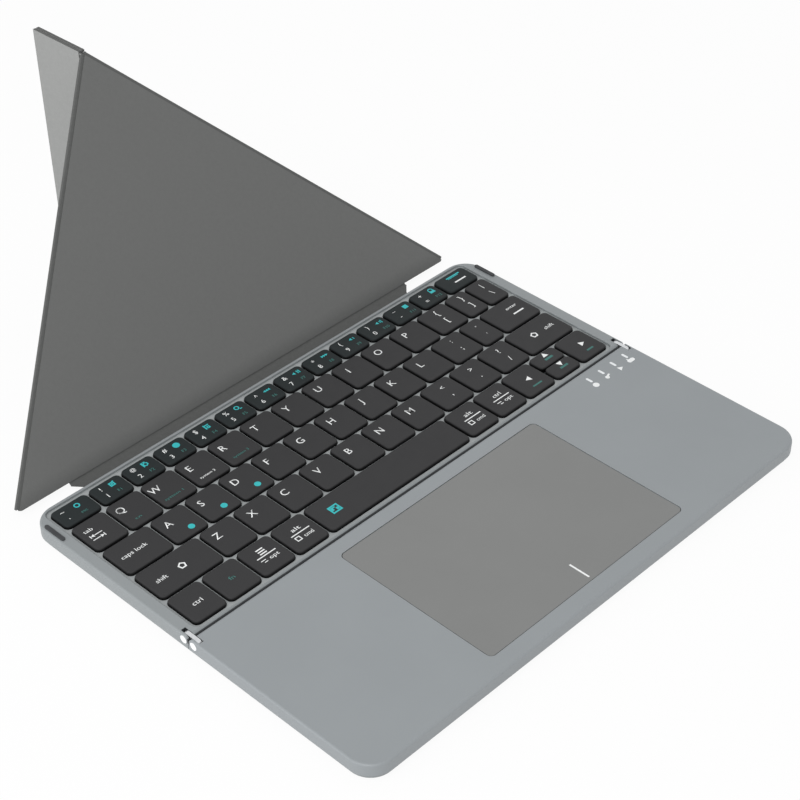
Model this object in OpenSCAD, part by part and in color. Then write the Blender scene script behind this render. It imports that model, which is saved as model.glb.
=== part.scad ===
// Folding keyboard: a keyboard half and a touchpad half on a pair of double-pivot
// hinges, with a creased cover at the rear that folds up into a stand.
// Millimetres. X runs to the right, Y to the rear, Z up. The origin is on the desk, at
// the centre of the whole outline. Pieces are drawn from the seam between the two
// halves and moved there by home().

/* [Case] */
// Width of both halves
case_w = 249; // [220:0.5:290]
// Distance from the rear row of caps to the rear edge
rear_border = 3.6; // [3.6:0.05:8]
// Distance by which the touchpad half is shallower than the keyboard half
half_step = 0.3; // [0:0.1:1]
// Height of the rim and of the palm rest above the desk
case_top = 8.8; // [8:0.1:12]
// Radius of the outer corners seen from above
corner_r = 10.5; // [6:0.5:16]
// Radius of the upper edge
edge_r = 1; // [0.3:0.1:1]
// Height of the line where the upper and lower shells part
part_z = 3.4; // [2.8:0.1:4]
// Distance by which the lower shell stands in from the upper one
lower_inset = 0.7; // [0.3:0.1:1.5]
// Radius of the lower edge
belly_r = 2.2; // [1:0.1:2.4]
// Thickness of the side walls
wall = 1.6; // [1.2:0.1:2.4]
// Thickness of the floors of the lower shells
floor_t = 0.9; // [0.6:0.1:1.4]
// Height by which the feet stand out below
foot_h = 0.5; // [0.3:0.1:1.5]

/* [Keys] */
// Width left free of keys, both sides together
side_border = 12.75; // [12.75:0.05:20]
// Spacing of the letter rows
row_pitch = 18.7; // [17:0.1:19.4]
// Depth taken by the number row
number_row_d = 12.85; // [11:0.05:15]
// Gap between neighbouring caps
key_gap = 1.1; // [0.9:0.1:2]
// Gap between a cap and its opening in the web
cap_play = 0.18; // [0.1:0.02:0.3]
// Radius of the cap corners
cap_r = 2.3; // [1.2:0.1:3]
// Radius of the cap's upper edge
cap_edge_r = 0.8; // [0.2:0.1:0.9]
// Height of the cap tops above the rim
cap_rise = 0.3; // [0:0.1:0.6]
// Depth of the tray below the rim
tray_deep = 1.2; // [0.6:0.1:1.3]
// Radius of the tray's upper edge
tray_lip = 0.4; // [0.2:0.1:0.5]
// Height of a cap
cap_h = 2.5; // [2:0.1:3]
// Travel of a key
key_travel = 1.3; // [1:0.1:1.6]
// Distance from the seam to the front row of caps
key_front = 3.15; // [2.9:0.05:4]
// Distance by which the key block stands off centre, to the left
key_shift = 0; // [0:0.1:0.8]
// Border of the tray beside the key block
tray_border = 0.9; // [0.7:0.1:1.4]
// Thickness of the web between the keys
web_t = 1; // [0.8:0.1:1.2]

/* [Touchpad] */
// Width of the touchpad
pad_w = 111; // [80:0.5:130]
// Distance from the touchpad to the front edge
pad_front = 7.8; // [6:0.1:14]
// Distance from the seam to the touchpad
pad_rear = 8.2; // [7:0.1:14]
// Radius of the touchpad corners
pad_r = 2.2; // [1:0.1:5]
// Gap round the touchpad
pad_play = 0.3; // [0.2:0.05:0.5]
// Depth of the touchpad below the palm rest
pad_sunk = 0.15; // [0:0.05:0.4]
// Thickness of the touchpad sheet
pad_t = 1; // [0.7:0.1:1.4]
// Thickness of the palm rest round it
palm_t = 1.6; // [1.4:0.1:2]

/* [Hinges] */
// Distance between the two pivots of a link
pivot_gap = 5.4; // [4.6:0.1:6]
// Gap between the two halves when they lie face to face
fold_gap = 0.8; // [0.8:0.1:1.6]
// Gap along the seam
seam_gap = 0.3; // [0.2:0.05:0.5]
// Thickness of the cheek outside a link
cheek_t = 1.1; // [0.9:0.1:1.6]
// Thickness of a link
link_t = 1.7; // [1.2:0.1:2.4]
// Gap on each side of a link
link_play = 0.2; // [0.15:0.05:0.3]
// Radius of a link's round ends
link_r = 2.1; // [1.8:0.1:2.3]
// Radius of a pin's shank
pin_r = 1; // [0.8:0.1:1.2]
// Radius of a pin's head
head_r = 1.7; // [1.5:0.1:1.9]

/* [Cover] */
// Distance by which the cover, laid flat, is shorter than the open case
cover_short = 2.3; // [0:0.1:8]
// Slope of the cover above the line of its foot, in degrees
cover_slope = 54; // [51:0.1:57]
// Thickness of its panels
panel_t = 1.4; // [1:0.1:2]
// Half width of a long crease
crease = 1.9; // [1.8:0.1:2.5]
// Half width of the short crease between wing and fin
fin_crease = 0.55; // [0.45:0.05:1.9]
// Radius of its corners
cover_r = 8; // [3:0.5:12]
// Distance from a side of the case to the strip that joins the cover to it
spine_inset = 32; // [24:0.5:64]
// Height of the lower edge of the cover above the desk
cover_z = 2.6; // [2:0.1:4]
// Distance from the case to the lower edge of the cover
cover_gap = 10.8; // [9.8:0.1:14]

/* [Hidden] */
$fn = 48;

// Heights of the layers in the keyboard half
cap_top = case_top + cap_rise;
tray_z = case_top - tray_deep;
web_under = tray_z - web_t;
palm_under = case_top - palm_t;
cap_under = cap_top - cap_h;
membrane_t = 0.2;
plate_t = 0.4;
press_room = 0.15;
membrane_z = cap_under - key_travel - press_room - membrane_t;
plate_z = membrane_z - plate_t;
floor_z = foot_h;
floor_top = foot_h + floor_t;

// Hinge axes: the keyboard half turns about +pivot_y, the touchpad half about -pivot_y
pivot_y = pivot_gap / 2;
pivot_z = case_top - (pivot_gap - fold_gap) / 2;
nose_r = pivot_y - seam_gap / 2;
link_x = case_w / 2 - cheek_t - link_play - link_t / 2;
slot_w = link_t + 2 * link_play;
slot_r = link_r + 0.3;
pin_reach = cheek_t + slot_w + 2.4;
hinge_block = pin_reach + 0.3;

// Rows of keys, front to back, as widths in letter pitches. All rows add up to block_u.
block_u = 13.5;
number_u = 11.311 / 12;
row_space = [0.97, 1, 1, 1.01, 4.56, 1.01, 1, 1.02, 0.94, 0.99];
row_bottom = [1.843, 1, 1, 1, 1, 1, 1, 1, 1.017, 1, 1.01, 1.63];
row_home = [1.349, 1, 1, 1, 1, 1, 1, 1, 1, 1, 1.021, 0.76, 1.37];
row_top = [0.97, 1, 1, 1, 1, 1, 1, 1, 1, 1, 1, 1.02, 0.75, 0.76];
row_number = concat([1.072], [for (i = [1:12]) number_u], [1.117]);
rows = [row_space, row_bottom, row_home, row_top, row_number];
block_w = case_w - side_border;
letter_pitch = block_w / block_u;
block_d = 4 * row_pitch + number_row_d;
block_y = key_front - key_gap / 2;
arrow_i = 8;
tray_r = 3.2;
kb_depth = block_y + block_d + rear_border - key_gap / 2;
tp_depth = kb_depth - half_step;
pad_d = tp_depth - pad_rear - pad_front;

// Cover: the half sheet folds about its own vertex, half a panel off the middle
fin_off = panel_t / 2 + 0.15;
cover_w = case_w;
spine_w = cover_w - 2 * spine_inset;
cover_h = kb_depth + tp_depth - cover_short;
half_w = cover_w / 2 - fin_off;
apex_h = half_w / sin(cover_slope);
fin_h = cover_h - apex_h;
wing_fold = acos(-pow(half_w / apex_h, 2));
fin_fold = asin(half_w / apex_h);
foot_reach = apex_h * cos(fin_fold) + fin_h;
cover_lean = fin_fold - asin((cover_z - 0.03) / (foot_reach - cover_r));
cover_y = kb_depth + cover_gap;
spine_y = kb_depth + 0.8;
spine_z = 1.4;
spine_t = 1;
spine_flare = 4;
spine_len = norm([cover_y - spine_y, cover_z - spine_z]);
spine_tilt = atan2(cover_z - spine_z, cover_y - spine_y);
rear_y = cover_y + apex_h * cos(cover_lean) + fin_h * cos(cover_lean - fin_fold);
mid_y = (rear_y - tp_depth) / 2;

function sum_to(v, n) = n <= 0 ? 0 : v[n - 1] + sum_to(v, n - 1);
function key_left(row, i) = -key_shift - block_w / 2 + sum_to(rows[row], i) * letter_pitch;
function key_w(row, i) = rows[row][i] * letter_pitch - key_gap;
function key_x(row, i) = key_left(row, i) + (key_w(row, i) + key_gap) / 2;
function row_d(row) = (row == 4 ? number_row_d : row_pitch) - key_gap;
function row_y(row) = block_y + row * row_pitch + (row_d(row) + key_gap) / 2;

// ---------- shared shapes ----------

module home() {
    translate([0, -mid_y, 0]) children();
}

// A rectangle with round corners, centred
module round_rect(w, d, r) {
    square([w - 2 * r, d], center = true);
    square([w, d - 2 * r], center = true);
    for (x = [-1, 1], y = [-1, 1])
        translate([x * (w / 2 - r), y * (d / 2 - r)]) circle(r);
}

// A slab of rounded plan whose side wall follows a profile: the child is the profile,
// from the corner's centre line at x = 0 out to the wall at x = r
module swept_slab(w, d, r, z0, z1) {
    cx = w / 2 - r;
    cy = d / 2 - r;
    translate([-cx, -cy, z0]) cube([2 * cx, 2 * cy, z1 - z0]);
    for (q = [0:3]) translate([(q == 0 || q == 3 ? 1 : -1) * cx, (q < 2 ? 1 : -1) * cy, 0])
        rotate([0, 0, q * 90]) rotate_extrude(angle = 90) children();
    for (q = [0, 2]) rotate([0, 0, q * 90]) translate([cx, cy, 0])
        rotate([90, 0, 0]) linear_extrude(2 * cy) children();
    for (q = [1, 3]) rotate([0, 0, q * 90]) translate([cy, cx, 0])
        rotate([90, 0, 0]) linear_extrude(2 * cx) children();
}

// Profile of a wall from z0 to z1 with a round upper edge
module crowned_profile(r, z0, z1, er) {
    translate([0, z0]) square([r, z1 - z0 - er]);
    translate([0, z1 - er - 0.01]) square([r - er, er + 0.01]);
    translate([r - er, z1 - er]) circle(er);
}

// Profile of a wall from z0 to z1 with a round lower edge
module bellied_profile(r, z0, z1, er) {
    translate([0, z0 + er]) square([r, z1 - z0 - er]);
    translate([0, z0]) square([r - er, er + 0.01]);
    intersection() {
        translate([r - er, z0 + er]) circle(er);
        translate([0, z0]) square([r, er + 0.01]);
    }
}

// Profile of a room from z0 to z1 whose upper edge opens out round, with a lid above
module flared_profile(r, z0, z1, er, lid) {
    translate([0, z0]) square([r - er, z1 - z0 + lid]);
    translate([0, z1]) square([r, lid]);
    difference() {
        translate([0, z1 - er]) square([r, er]);
        translate([r, z1 - er]) circle(er);
    }
}

// Bar with round ends, lying along Y
module stadium(w, l, h) {
    linear_extrude(h) {
        square([w, l - w], center = true);
        for (y = [-1, 1]) translate([0, y * (l - w) / 2]) circle(w / 2);
    }
}

// The same, pointing along X, for the openings in a side wall
module side_stadium(w, h, l) {
    rotate([0, 90, 0]) stadium(h, w, l);
}

// ---------- shared parts of the two halves, drawn behind the seam ----------

// Everything in front of a half's end face, whose upper edge is rounded about the
// hinge axis so that the two noses roll on each other as the case folds
module seam_cut() {
    far = 20;
    rotate([90, 0, 90]) translate([0, 0, -case_w]) linear_extrude(2 * case_w) {
        translate([-2 * kb_depth, -far]) square([2 * kb_depth + seam_gap / 2, 3 * far]);
        difference() {
            translate([-far, pivot_z]) square([far + pivot_y, far]);
            translate([pivot_y, pivot_z]) circle(nose_r);
        }
    }
}

// Room for the links: slots open to the seam and above, with a round inner end
module link_slots() {
    for (side = [-1, 1]) translate([side * link_x, 0, 0]) rotate([90, 0, 90])
        translate([0, 0, -slot_w / 2]) linear_extrude(slot_w) {
            translate([pivot_y, pivot_z]) circle(slot_r);
            translate([-5, pivot_z - slot_r]) square([5 + pivot_y, 20]);
            translate([-5, pivot_z]) square([5 + pivot_y + slot_r, 20]);
        }
}

module hinge_pins() {
    for (side = [-1, 1])
        translate([side * case_w / 2, pivot_y, pivot_z]) rotate([0, -side * 90, 0]) {
            cylinder(r = head_r, h = cheek_t);
            cylinder(r = pin_r, h = pin_reach);
        }
}

// Plan of the cavity of a half: it leaves the side walls and a block round each link
module cavity_plan(depth, front) {
    difference() {
        round_rect(case_w - 2 * wall, 2 * (depth - wall), corner_r - wall);
        for (side = [-1, 1]) translate([side * (case_w - hinge_block) / 2, 0])
            square([hinge_block, 2 * (pivot_y + slot_r + 1)], center = true);
        translate([0, front - depth]) square([2 * case_w, 2 * depth], center = true);
    }
}

// Upper shell of a half before its openings are cut
module upper_shell(depth, front, under) {
    difference() {
        swept_slab(case_w, 2 * depth, corner_r, part_z, case_top)
            crowned_profile(corner_r, part_z, case_top, edge_r);
        translate([0, 0, part_z - 1])
            linear_extrude(under - part_z + 1) cavity_plan(depth, front);
        seam_cut();
        link_slots();
        hinge_pins();
    }
}

// Lower shell of a half: a shallow tray with a round lower edge
module lower_shell(depth, front, foot_points) {
    lower_w = case_w - 2 * lower_inset;
    lower_d = depth - lower_inset;
    rim = wall + 1;
    difference() {
        swept_slab(lower_w, 2 * lower_d, corner_r - lower_inset, floor_z, part_z)
            bellied_profile(corner_r - lower_inset, floor_z, part_z, belly_r);
        translate([0, 0, floor_top]) linear_extrude(part_z) difference() {
            round_rect(lower_w - 2 * rim, 2 * (lower_d - rim), corner_r - lower_inset - rim);
            translate([0, front + 1 - depth]) square([2 * case_w, 2 * depth], center = true);
        }
        translate([-case_w, -2 * depth, 0]) cube([2 * case_w, 2 * depth + seam_gap / 2, 20]);
        for (p = foot_points) translate([p[0], p[1], floor_z - 1])
            cylinder(r = foot_r, h = 1 + foot_seat);
    }
}

foot_r = 4;
foot_seat = 0.4;
foot_inset = 18;
screw_head_r = 1.8;
screw_r = 0.8;
screw_head_h = 0.7;
screw_lift = 0.2;
boss_r = 2.6;

function feet(depth) = [for (x = [-1, 1], y = [foot_inset, depth - foot_inset])
    [x * (case_w / 2 - foot_inset), y]];

module foot_set(points) {
    for (p = points) translate([p[0], p[1], 0]) cylinder(r = foot_r, h = foot_h + foot_seat);
}

// Screws that rise from the lower shell, with a hexagon socket in the head
module screw_set(points, top) {
    for (p = points) translate([p[0], p[1], floor_z + screw_lift]) {
        difference() {
            cylinder(r = screw_head_r, h = screw_head_h);
            translate([0, 0, -0.1]) cylinder(r = 0.7, h = 0.45, $fn = 6);
        }
        cylinder(r = screw_r, h = top - floor_z - screw_lift);
    }
}

// Bosses in the lower shell, and the stepped holes down through them
module boss_set(points, top) {
    for (p = points) translate([p[0], p[1], floor_top - 0.1])
        cylinder(r = boss_r, h = top - floor_top + 0.1);
}
module boss_holes(points) {
    for (p = points) translate([p[0], p[1], 0]) {
        cylinder(r = screw_head_r + 0.1, h = floor_z + screw_lift + screw_head_h);
        cylinder(r = screw_r + 0.1, h = 20);
    }
}

// Magnets beside the keys, one at each end, that hold the folded halves together
magnet_w = 2.2;
magnet_l = 12;
magnet_h = 2;
magnet_y = 58;
module magnet_pair(under) {
    for (side = [-1, 1])
        translate([side * (case_w / 2 - wall - 0.2 - magnet_w / 2), magnet_y,
                   under + 0.1 - magnet_h / 2])
            cube([magnet_w, magnet_l, magnet_h], center = true);
}
module magnet_cups(under) {
    for (side = [-1, 1])
        translate([side * (case_w / 2 - wall - magnet_w / 2), magnet_y, under + 0.2 - magnet_h / 2])
            cube([magnet_w + 1, magnet_l + 1.6, magnet_h], center = true);
}

// ---------- keyboard half ----------

kb_screws = [for (x = [-1, 0, 1], y = [34, 59]) [x * (case_w / 2 - 34), y]];
rib_t = 1;
rib_l = case_w - 40;
bumper_w = 1.7;
bumper_l = 11.6;
bumper_y = kb_depth - 14;
bumper_inset = 1.95;
bumper_proud = fold_gap - 0.1;
bumper_seat = 0.8;

// The shallow tray that the keys stand in, with a narrow rim all round it
module tray_room() {
    front = key_front - 1.75 - tray_lip;
    back = kb_depth - wall + tray_lip;
    translate([0, (front + back) / 2, 0])
        swept_slab(block_w + 2 * (tray_border + tray_lip), back - front,
                   tray_r + tray_lip, tray_z, case_top + 1)
            flared_profile(tray_r + tray_lip, tray_z, case_top, tray_lip, 1);
}

// The up and down arrows share one place, split across its middle
split_gap = 0.5;
half_d = (row_d(0) - split_gap) / 2;
half_step_y = (half_d + split_gap) / 2;

// Every key as [x, y, width, depth]
function is_split(row, i) = row == 0 && i == arrow_i;
key_places = [for (row = [0:4], i = [0:len(rows[row]) - 1], up = is_split(row, i) ? [-1, 1] : [0])
    [key_x(row, i), row_y(row) + up * half_step_y, key_w(row, i), up == 0 ? row_d(row) : half_d]];

module key_openings() {
    for (row = [0:4], i = [0:len(rows[row]) - 1])
        translate([key_x(row, i), row_y(row)])
            round_rect(key_w(row, i) + 2 * cap_play, row_d(row) + 2 * cap_play, cap_r + cap_play);
}

module bumper_pair(h) {
    for (side = [-1, 1])
        translate([side * (case_w / 2 - bumper_inset), bumper_y, case_top - bumper_seat])
            stadium(bumper_w, bumper_l, h);
}

module keyboard_top_case() color([0.58, 0.6, 0.61]) home() difference() {
    union() {
        upper_shell(kb_depth, key_front - cap_play, web_under);
        magnet_cups(web_under);
    }
    tray_room();
    translate([0, 0, web_under - 1]) linear_extrude(3) key_openings();
    bumper_pair(2);
    magnet_pair(web_under);
}

module keyboard_bottom_cover() color([0.55, 0.57, 0.58]) home() difference() {
    union() {
        lower_shell(kb_depth, key_front - cap_play, feet(kb_depth));
        for (y = [17, 46.5, 76]) translate([-rib_l / 2, y - rib_t / 2, floor_top - 0.1])
            cube([rib_l, rib_t, plate_z - floor_top + 0.1]);
        boss_set(kb_screws, plate_z);
    }
    boss_holes(kb_screws);
}

// Plan of the plate and membrane under the keys
module plate_plan(inset) {
    translate([-key_shift, block_y + block_d / 2])
        square([block_w - 2 - 2 * inset, block_d - 2 - 2 * inset], center = true);
}

module key_support_plate() color([0.72, 0.73, 0.75]) home() translate([0, 0, plate_z])
    linear_extrude(plate_t) difference() {
        plate_plan(0);
        for (p = kb_screws) translate(p) circle(screw_r);
        for (k = key_places) translate([k[0], k[1]]) square([4, 2], center = true);
    }

module switch_membrane() color([0.82, 0.84, 0.86]) home() translate([0, 0, membrane_z])
    linear_extrude(membrane_t) plate_plan(0.5);

module rubber_domes() color([0.9, 0.9, 0.88]) home() for (k = key_places)
    translate([k[0], k[1], membrane_z + membrane_t]) cylinder(r1 = 2.2, r2 = 1.3, h = 1.4);

// Scissor frames, drawn pressed flat: a ring round each dome
module scissor_frames() color([0.92, 0.93, 0.94]) home() for (k = key_places) {
    w = min(11, k[2] - 3.4);
    d = min(11, k[3] - 3.2);
    translate([k[0], k[1], membrane_z + membrane_t]) difference() {
        translate([-w / 2, -d / 2, 0]) cube([w, d, 0.8]);
        translate([-w / 2 + 1, -d / 2 + 0.3, -1]) cube([w - 2, d - 0.6, 3]);
    }
}

// Bent wire that keeps the space bar level
module space_bar_stabilizer() color([0.75, 0.76, 0.78]) home() {
    wire = 0.4;
    reach = key_w(0, 4) - 14;
    translate([key_x(0, 4), row_y(0) + 6.5, membrane_z + membrane_t + wire]) {
        rotate([0, 90, 0]) cylinder(r = wire, h = reach, center = true);
        for (s = [-1, 1]) translate([s * reach / 2, 0, 0]) {
            rotate([90, 0, 0]) cylinder(r = wire, h = 5);
            sphere(wire);
        }
    }
}

module keyboard_bumpers() color([0.22, 0.23, 0.24]) home()
    bumper_pair(bumper_seat + bumper_proud);

module keyboard_feet() color([0.2, 0.2, 0.2]) home() foot_set(feet(kb_depth));

module keyboard_screws() color([0.3, 0.3, 0.32]) home()
    screw_set(kb_screws, plate_z + plate_t);

module keyboard_magnets() color([0.7, 0.7, 0.72]) home() magnet_pair(web_under);

module keyboard_hinge_pins() color([0.85, 0.86, 0.87]) home() hinge_pins();

// Cap: a skirt with a rounded upper edge, hollow below
module cap(w, d) {
    difference() {
        swept_slab(w, d, cap_r, cap_under, cap_top)
            crowned_profile(cap_r, cap_under, cap_top, cap_edge_r);
        translate([0, 0, cap_under - 1]) linear_extrude(cap_h + 0.1)
            square([w - 2.2, d - 2.2], center = true);
    }
}

module row_keys(row, from, to) {
    color([0.24, 0.24, 0.24]) home() for (i = [from:to])
        translate([key_x(row, i), row_y(row), 0]) cap(key_w(row, i), row_d(row));
}

module half_key(up) {
    color([0.24, 0.24, 0.24]) home()
        translate([key_x(0, arrow_i), row_y(0) + up * half_step_y, 0])
            cap(key_w(0, arrow_i), half_d);
}

module number_keys() row_keys(4, 1, 12);
module top_row_keys() row_keys(3, 1, 12);
module home_row_keys() row_keys(2, 1, 11);
module bottom_row_keys() row_keys(1, 1, 10);
module backtick_key() row_keys(4, 0, 0);
module backspace_key() row_keys(4, 13, 13);
module tab_key() row_keys(3, 0, 0);
module backslash_key() row_keys(3, 13, 13);
module caps_lock_key() row_keys(2, 0, 0);
module enter_key() row_keys(2, 12, 12);
module left_shift_key() row_keys(1, 0, 0);
module right_shift_key() row_keys(1, 11, 11);
module left_ctrl_key() row_keys(0, 0, 0);
module fn_key() row_keys(0, 1, 1);
module menu_key() row_keys(0, 2, 2);
module left_alt_key() row_keys(0, 3, 3);
module space_bar() row_keys(0, 4, 4);
module right_alt_key() row_keys(0, 5, 5);
module right_ctrl_key() row_keys(0, 6, 6);
module left_arrow_key() row_keys(0, 7, 7);
module up_arrow_key() half_key(1);
module down_arrow_key() half_key(-1);
module right_arrow_key() row_keys(0, 9, 9);

// ---------- hinge links ----------

// Flat arm with a round end and a hole at each pivot
module hinge_link(side) {
    color([0.8, 0.81, 0.82]) home() translate([side * link_x, 0, pivot_z]) rotate([90, 0, 90])
        translate([0, 0, -link_t / 2]) linear_extrude(link_t) difference() {
            union() {
                square([pivot_gap, 2 * link_r], center = true);
                for (y = [-1, 1]) translate([y * pivot_y, 0]) circle(link_r);
            }
            for (y = [-1, 1]) translate([y * pivot_y, 0]) circle(pin_r + 0.05);
        }
}
module hinge_link_left() hinge_link(-1);
module hinge_link_right() hinge_link(1);

// ---------- touchpad half: drawn behind the seam like the other, then turned over to
// the front by tp_home() ----------

module tp_home() {
    home() mirror([0, 1, 0]) children();
}

tp_screws = [for (x = [-1, 1], y = [20, tp_depth - 19]) [x * (pad_w / 2 + 4.5), y]];
tp_boss_z = 5;
pad_y = pad_rear + pad_d / 2;
pad_z = case_top - pad_sunk - pad_t;
board_t = 0.8;
switch_h = 1.3;
switch_gap = 0.45;
switch_y = pad_rear + pad_d - 9;
switch_w = 6;
switch_z = pad_z - board_t - switch_gap - switch_h;
lens_w = 1.2;
lens_l = 3.5;
lens_y = 6.6;
lens_x = [for (i = [0:3]) case_w / 2 - 31.2 + 7.85 * i];
main_t = 0.8;
main_z = 2.9;
main_w = case_w / 2 - pad_w / 2 - 13;
main_d = 58;
main_x = case_w / 2 - lower_inset - wall - 1.3 - main_w / 2;
main_y = 9.5 + main_d / 2;
socket_w = 8.94;
socket_h = 3.2;
socket_l = 7.4;
socket_y = 30;
socket_z = main_z + main_t + socket_h / 2;
slider_y = 44;
slider_travel = 2.4;
slider_l = 3.4;
slider_h = 1.6;
cell_w = case_w / 2 - pad_w / 2 - 18.5;
cell_d = 66;
cell_t = 3.2;
cell_x = -case_w / 2 + wall + 5 + cell_w / 2;
cell_y = 11 + cell_d / 2;

module pad_plan(grow) {
    translate([0, pad_y]) round_rect(pad_w + 2 * grow, pad_d + 2 * grow, pad_r + grow);
}

module touchpad_top_case() color([0.58, 0.6, 0.61]) tp_home() difference() {
    union() {
        upper_shell(tp_depth, 3.2, palm_under);
        magnet_cups(palm_under);
        for (p = tp_screws) translate([p[0], p[1], tp_boss_z])
            cylinder(r = boss_r, h = palm_under + 0.1 - tp_boss_z);
    }
    translate([0, 0, part_z]) linear_extrude(10) pad_plan(pad_play);
    for (x = lens_x) translate([x, lens_y, palm_under - 1]) stadium(lens_w, lens_l, 10);
    for (p = tp_screws) translate([p[0], p[1], tp_boss_z - 1]) cylinder(r = screw_r, h = 2.5);
    translate([case_w / 2 - wall - 1, socket_y, socket_z])
        side_stadium(socket_w + 0.3, socket_h + 0.3, 10);
    translate([case_w / 2 - wall - 1, slider_y, socket_z])
        side_stadium(slider_l + slider_travel + 0.5, slider_h + 0.4, 10);
    magnet_pair(palm_under);
}

module touchpad_bottom_cover() color([0.55, 0.57, 0.58]) tp_home() difference() {
    union() {
        lower_shell(tp_depth, 3.2, feet(tp_depth));
        for (x = [-1, 1], y = [-1, 1])
            translate([main_x + x * (main_w / 2 - 6), main_y + y * (main_d / 2 - 5), floor_top - 0.1])
                cylinder(r = 2, h = main_z - floor_top + 0.1);
        translate([-switch_w / 2 - 1, switch_y - switch_w / 2 - 1, floor_top - 0.1])
            cube([switch_w + 2, switch_w + 2, switch_z - floor_top + 0.1]);
        boss_set(tp_screws, tp_boss_z);
    }
    boss_holes(tp_screws);
}

module touchpad_sheet() color([0.5, 0.5, 0.5]) tp_home() translate([0, 0, pad_z])
    linear_extrude(pad_t) pad_plan(0);

module touchpad_board() color([0.1, 0.3, 0.2]) tp_home() translate([0, pad_y, pad_z - board_t])
    linear_extrude(board_t) square([pad_w - 4, pad_d - 4], center = true);

// Switch under the front edge of the touchpad, with a round plunger
module click_switch() color([0.75, 0.75, 0.78]) tp_home() translate([0, switch_y, switch_z]) {
    translate([-switch_w / 2, -switch_w / 2, 0]) cube([switch_w, switch_w, switch_h - 0.4]);
    cylinder(r = 1.5, h = switch_h);
}

module main_board() color([0.1, 0.35, 0.25]) tp_home() {
    translate([main_x - main_w / 2, main_y - main_d / 2, main_z]) cube([main_w, main_d, main_t]);
    for (c = [[-14, -14, 10, 10, 1.2], [-14, 8, 7, 7, 1], [2, 20, 9, 5, 1], [-4, -20, 5, 4, 0.9],
              [6, 2, 6, 6, 1.1], [-20, 22, 4, 7, 1]])
        translate([main_x + c[0], main_y + c[1], main_z + main_t - 0.1])
            cube([c[2], c[3], c[4] + 0.1]);
}

module battery() color([0.75, 0.76, 0.78]) tp_home()
    translate([cell_x, cell_y, floor_top]) linear_extrude(cell_t) round_rect(cell_w, cell_d, 2);

// Socket: a flat-sided shell with a tongue inside, its mouth level with the case
module charging_socket() color([0.8, 0.8, 0.82]) tp_home()
    translate([case_w / 2 - 0.2 - socket_l, socket_y, socket_z]) {
        difference() {
            side_stadium(socket_w, socket_h, socket_l);
            translate([1, 0, 0]) side_stadium(socket_w - 0.6, socket_h - 0.64, socket_l);
        }
        translate([0.5, -3.35, -0.35]) cube([5.4, 6.7, 0.7]);
    }

// Knob in a slot of the right-hand wall, with a flange behind the wall
module power_slider() color([0.3, 0.3, 0.32]) tp_home()
    translate([case_w / 2, slider_y - slider_travel / 2, socket_z]) {
        translate([-wall - 0.5, 0, 0]) side_stadium(slider_l, slider_h, wall + 0.3);
        translate([-wall - 0.9, -5, -1.3]) cube([0.8, 10, 2.6]);
    }

module indicator_lenses() color([0.95, 0.95, 0.95]) tp_home()
    for (x = lens_x) translate([x, lens_y, palm_under]) stadium(lens_w, lens_l, palm_t);

module touchpad_feet() color([0.2, 0.2, 0.2]) tp_home() foot_set(feet(tp_depth));

module touchpad_screws() color([0.3, 0.3, 0.32]) tp_home()
    screw_set(tp_screws, tp_boss_z + 1.5);

module touchpad_magnets() color([0.7, 0.7, 0.72]) tp_home() magnet_pair(palm_under);

module touchpad_hinge_pins() color([0.85, 0.86, 0.87]) tp_home() hinge_pins();

// ---------- cover ----------

base_crease = 0.77;
root_crease = 0.5;
apex = [fin_off, apex_h];
edge_x = cover_w / 2;

// Strip glued under the keyboard half, and the strip that links it to the cover
module cover_anchor() color([0.35, 0.35, 0.35]) home()
    translate([-spine_w / 2, kb_depth - 22, 0.1]) cube([spine_w, 22.8 + 0.8, floor_z - 0.1]);

module cover_spine() color([0.35, 0.35, 0.35]) home() {
    reach = spine_len - base_crease;
    translate([0, spine_y, spine_z]) rotate([spine_tilt, 0, 0])
        translate([0, 0, -spine_t / 2]) linear_extrude(spine_t) polygon([
            [-spine_w / 2, root_crease], [spine_w / 2, root_crease],
            [spine_w / 2, reach - spine_flare], [spine_w / 2 + spine_flare, reach],
            [-spine_w / 2 - spine_flare, reach], [-spine_w / 2, reach - spine_flare]
        ]);
}

// The sheet's own frame: X to the right, Y up the sheet, Z out of its front face
module on_cover() {
    home() translate([0, cover_y, cover_z]) rotate([cover_lean, 0, 0]) children();
}

module sheet() {
    translate([0, cover_h / 2]) round_rect(cover_w, cover_h, cover_r);
}

// Band along the crease of the right-hand half, from the lower corner to the apex
module long_crease() {
    translate([edge_x, 0]) rotate(atan2(apex_h, -half_w))
        translate([-20, -crease]) square([norm([half_w, apex_h]) + 40, 2 * crease]);
}

module cover_front_panel() color([0.38, 0.38, 0.38]) on_cover()
    translate([0, 0, -panel_t / 2]) linear_extrude(panel_t) difference() {
        intersection() {
            sheet();
            polygon([[-edge_x, 0], [edge_x, 0], apex, [-apex[0], apex_h]]);
        }
        long_crease();
        mirror([1, 0]) long_crease();
        translate([-edge_x - 1, -1]) square([2 * edge_x + 2, 1 + base_crease]);
    }

// Turns a piece about the long crease of the right-hand half
module wing_folded() {
    a = atan2(apex_h, -half_w);
    translate([edge_x, 0, 0]) rotate([0, 0, a]) rotate([wing_fold, 0, 0])
        rotate([0, 0, -a]) translate([-edge_x, 0, 0]) children();
}

module right_wing() {
    wing_folded() translate([0, 0, -panel_t / 2]) linear_extrude(panel_t) difference() {
        intersection() {
            sheet();
            polygon([[edge_x, 0], [edge_x, apex_h - fin_crease],
                [0, apex_h - fin_crease], apex]);
            polygon([[edge_x, 0], [edge_x, apex_h], apex]);
        }
        long_crease();
    }
}

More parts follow.
